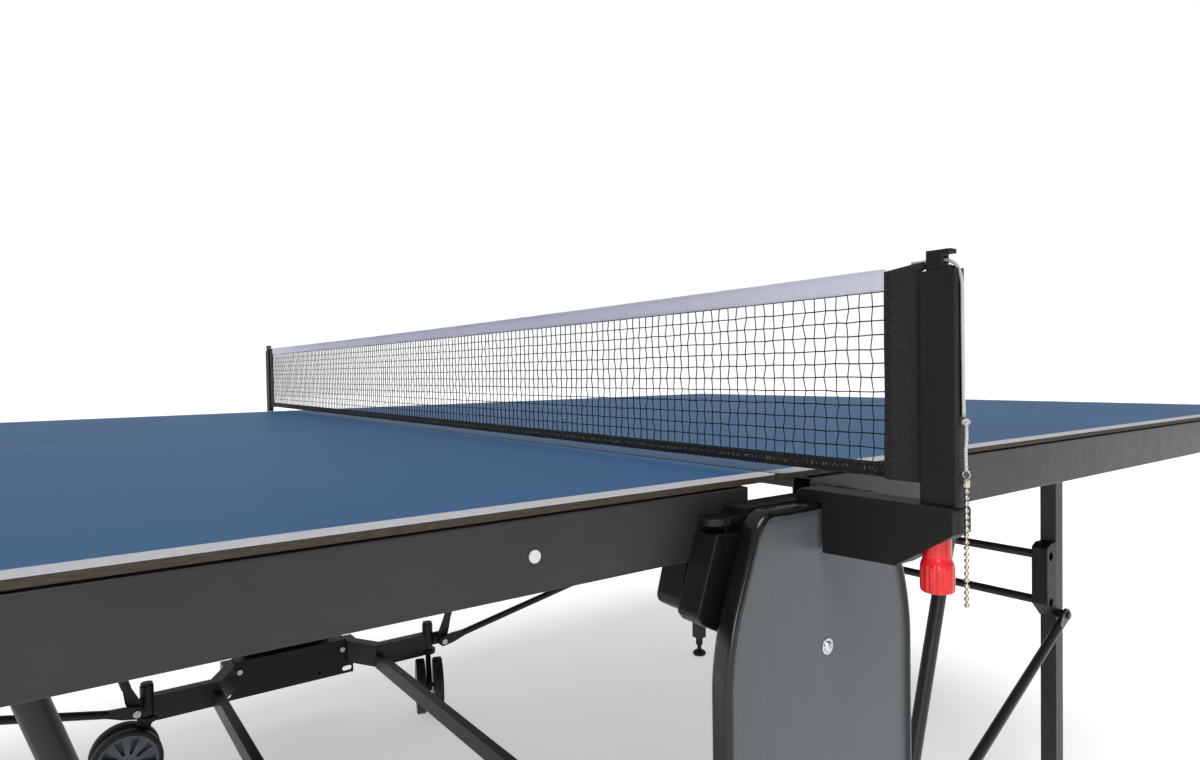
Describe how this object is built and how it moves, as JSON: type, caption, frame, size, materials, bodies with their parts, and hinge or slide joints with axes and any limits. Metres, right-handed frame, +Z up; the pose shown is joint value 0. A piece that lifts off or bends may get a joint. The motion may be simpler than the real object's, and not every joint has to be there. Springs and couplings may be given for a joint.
{
  "type": "folding table-tennis table",
  "caption": "Folding table-tennis table with blue halves, metal apron, net on clamp-free side towers, wheeled base and folding legs.",
  "frame": {"origin": "floor point under the middle of the net", "axes": "+X along the table, +Y across it away from the near side, +Z up"},
  "size_m": [2.74, 1.8358, 0.92],
  "materials": {
    "playing_surface": "matt blue lacquer with white lines",
    "frame_paint": "satin anthracite powder coat",
    "dark_paint": "satin powder coat",
    "black_paint": "satin black",
    "panel_face": "satin grey",
    "gloss_trim": "semi-gloss black",
    "black_plastic": "fine texture",
    "post_plastic": "fine ribs",
    "white_plastic": "smooth",
    "zinc": "zinc plated",
    "red_plastic": "glossy",
    "nickel_chain": "nickel",
    "net_black": "nylon mesh",
    "net_white": "cotton tape",
    "cord_white": "braided",
    "tyre": "smooth rubber",
    "wheel_grey": "satin"
  },
  "bodies": {
    "base": {"base_rails": "dark_paint", "caster_arms": "dark_paint", "base_pivot_bolts": "zinc", "end_channels": "black_paint", "channel_bolts": "zinc", "tower_uprights": "black_paint", "side_panels": "panel_face", "panel_trims": "gloss_trim", "panel_screws": "zinc", "lock_housings": "black_plastic", "net_brackets": "black_plastic", "net_posts": "post_plastic"},
    "half_right": {"playing_board_right": "playing_surface", "apron_rails_right": "frame_paint", "cross_beams_right": "frame_paint", "pivot_brackets_right": "zinc", "apron_plugs_right": "white_plastic"},
    "levers_right": {"release_levers_right": "black_plastic"},
    "links_right": {"link_tubes_right": "dark_paint"},
    "struts_right": {"leg_struts_right": "dark_paint"},
    "legs_right": {"legs_right": "dark_paint", "leg_crossbars_right": "dark_paint", "crossbar_holders_right": "black_plastic"},
    "half_left": {"playing_board_left": "playing_surface", "apron_rails_left": "frame_paint", "cross_beams_left": "frame_paint", "pivot_brackets_left": "zinc", "apron_plugs_left": "white_plastic"},
    "levers_left": {"release_levers_left": "black_plastic"},
    "links_left": {"link_tubes_left": "dark_paint"},
    "struts_left": {"leg_struts_left": "dark_paint"},
    "legs_left": {"legs_left": "dark_paint", "leg_crossbars_left": "dark_paint", "crossbar_holders_left": "black_plastic"},
    "foot_near_right": {"foot_near_right": "black_plastic"},
    "caster_near_right": {"caster_fork_near_right": "black_plastic"},
    "wheels_near_right": {"caster_tyres_near_right": "tyre", "caster_discs_near_right": "wheel_grey"},
    "foot_near_left": {"foot_near_left": "black_plastic"},
    "caster_near_left": {"caster_fork_near_left": "black_plastic"},
    "wheels_near_left": {"caster_tyres_near_left": "tyre", "caster_discs_near_left": "wheel_grey"},
    "foot_far_right": {"foot_far_right": "black_plastic"},
    "caster_far_right": {"caster_fork_far_right": "black_plastic"},
    "wheels_far_right": {"caster_tyres_far_right": "tyre", "caster_discs_far_right": "wheel_grey"},
    "foot_far_left": {"foot_far_left": "black_plastic"},
    "caster_far_left": {"caster_fork_far_left": "black_plastic"},
    "wheels_far_left": {"caster_tyres_far_left": "tyre", "caster_discs_far_left": "wheel_grey"},
    "knob_near": {"height_knob_near": "red_plastic"},
    "chain_near": {"pull_chain_near": "nickel_chain"},
    "knob_far": {"height_knob_far": "red_plastic"},
    "chain_far": {"pull_chain_far": "nickel_chain"},
    "net_set": {"post_caps": "post_plastic", "net_mesh": "net_black", "net_tape": "net_white", "net_hem": "net_black", "net_sleeves": "net_black", "tightening_cords": "cord_white"}
  },
  "joints": [
    {"name": "link_swing_right", "type": "hinge", "parent": "base", "child": "links_right", "pos_m": [0.334, 0, 0.17], "axis": [0, -1, 0], "range_deg": [0, 17.48]},
    {"name": "fold_right", "type": "hinge", "parent": "links_right", "child": "half_right", "pos_m": [0.5055, 0, 0.715], "axis": [0, -1, 0], "range_deg": [0, 72.53]},
    {"name": "leg_fold_right", "type": "hinge", "parent": "half_right", "child": "legs_right", "pos_m": [1.09, 0, 0.703], "axis": [0, -1, 0], "range_deg": [-90.02, 0]},
    {"name": "strut_swing_right", "type": "hinge", "parent": "base", "child": "struts_right", "pos_m": [0.334, 0, 0.17], "axis": [0, -1, 0], "range_deg": [0, 75.34]},
    {"name": "release_lever_right", "type": "hinge", "parent": "half_right", "child": "levers_right", "pos_m": [0.064, 0, 0.72], "axis": [0, 1, 0], "range_deg": [0, 18], "stiffness_Nm_per_rad": 0.4, "springref_deg": -17.19},
    {"name": "link_swing_left", "type": "hinge", "parent": "base", "child": "links_left", "pos_m": [-0.334, 0, 0.17], "axis": [0, 1, 0], "range_deg": [0, 17.48]},
    {"name": "fold_left", "type": "hinge", "parent": "links_left", "child": "half_left", "pos_m": [-0.5055, 0, 0.715], "axis": [0, 1, 0], "range_deg": [0, 72.53]},
    {"name": "leg_fold_left", "type": "hinge", "parent": "half_left", "child": "legs_left", "pos_m": [-1.09, 0, 0.703], "axis": [0, 1, 0], "range_deg": [-90.02, 0]},
    {"name": "strut_swing_left", "type": "hinge", "parent": "base", "child": "struts_left", "pos_m": [-0.334, 0, 0.17], "axis": [0, 1, 0], "range_deg": [0, 75.34]},
    {"name": "release_lever_left", "type": "hinge", "parent": "half_left", "child": "levers_left", "pos_m": [-0.064, 0, 0.72], "axis": [0, -1, 0], "range_deg": [0, 18], "stiffness_Nm_per_rad": 0.4, "springref_deg": -17.19},
    {"name": "swivel_near_right", "type": "hinge", "parent": "base", "child": "caster_near_right", "pos_m": [0.311, -0.665, 0.14], "axis": [0, 0, 1], "continuous": true},
    {"name": "roll_near_right", "type": "hinge", "parent": "caster_near_right", "child": "wheels_near_right", "pos_m": [0.34725, -0.64809, 0.065], "axis": [0.4226, -0.9063, 0], "continuous": true},
    {"name": "level_near_right", "type": "slide", "parent": "legs_right", "child": "foot_near_right", "axis": [0, 0, -1], "range_m": [0, 0.012]},
    {"name": "swivel_near_left", "type": "hinge", "parent": "base", "child": "caster_near_left", "pos_m": [-0.311, -0.665, 0.14], "axis": [0, 0, 1], "continuous": true},
    {"name": "roll_near_left", "type": "hinge", "parent": "caster_near_left", "child": "wheels_near_left", "pos_m": [-0.27636, -0.685, 0.065], "axis": [-0.5, -0.866, 0], "continuous": true},
    {"name": "level_near_left", "type": "slide", "parent": "legs_left", "child": "foot_near_left", "axis": [0, 0, -1], "range_m": [0, 0.012]},
    {"name": "swivel_far_right", "type": "hinge", "parent": "base", "child": "caster_far_right", "pos_m": [0.311, 0.665, 0.14], "axis": [0, 0, 1], "continuous": true},
    {"name": "roll_far_right", "type": "hinge", "parent": "caster_far_right", "child": "wheels_far_right", "pos_m": [0.29732, 0.62741, 0.065], "axis": [-0.9397, 0.342, 0], "continuous": true},
    {"name": "level_far_right", "type": "slide", "parent": "legs_right", "child": "foot_far_right", "axis": [0, 0, -1], "range_m": [0, 0.012]},
    {"name": "swivel_far_left", "type": "hinge", "parent": "base", "child": "caster_far_left", "pos_m": [-0.311, 0.665, 0.14], "axis": [0, 0, 1], "continuous": true},
    {"name": "roll_far_left", "type": "hinge", "parent": "caster_far_left", "child": "wheels_far_left", "pos_m": [-0.351, 0.665, 0.065], "axis": [0, 1, 0], "continuous": true},
    {"name": "level_far_left", "type": "slide", "parent": "legs_left", "child": "foot_far_left", "axis": [0, 0, -1], "range_m": [0, 0.012]},
    {"name": "height_turn_near", "type": "hinge", "parent": "base", "child": "knob_near", "pos_m": [0, -0.895, 0.71], "axis": [0, 0, 1], "range_deg": [0, 720]},
    {"name": "chain_swing_near", "type": "hinge", "parent": "net_set", "child": "chain_near", "pos_m": [0, -0.915, 0.808], "axis": [-1, 0, 0], "range_deg": [0, 60]},
    {"name": "height_turn_far", "type": "hinge", "parent": "base", "child": "knob_far", "pos_m": [0, 0.895, 0.71], "axis": [0, 0, 1], "range_deg": [0, 720]},
    {"name": "chain_swing_far", "type": "hinge", "parent": "net_set", "child": "chain_far", "pos_m": [0, 0.915, 0.808], "axis": [1, 0, 0], "range_deg": [0, 60]},
    {"name": "net_lift", "type": "slide", "parent": "base", "child": "net_set", "axis": [0, 0, 1], "range_m": [0, 0.006]}
  ],
  "couplings": [
    {"joint": "link_swing_right", "follows": "fold_right", "ratio": 0.24083},
    {"joint": "leg_fold_right", "follows": "fold_right", "ratio": -1.2408},
    {"joint": "strut_swing_right", "follows": "fold_right", "ratio": 1.0385},
    {"joint": "link_swing_left", "follows": "fold_left", "ratio": 0.24083},
    {"joint": "leg_fold_left", "follows": "fold_left", "ratio": -1.2408},
    {"joint": "strut_swing_left", "follows": "fold_left", "ratio": 1.0385},
    {"joint": "height_turn_far", "follows": "height_turn_near", "ratio": 1},
    {"joint": "net_lift", "follows": "height_turn_near", "m_per_rad": 0.000477}
  ]
}
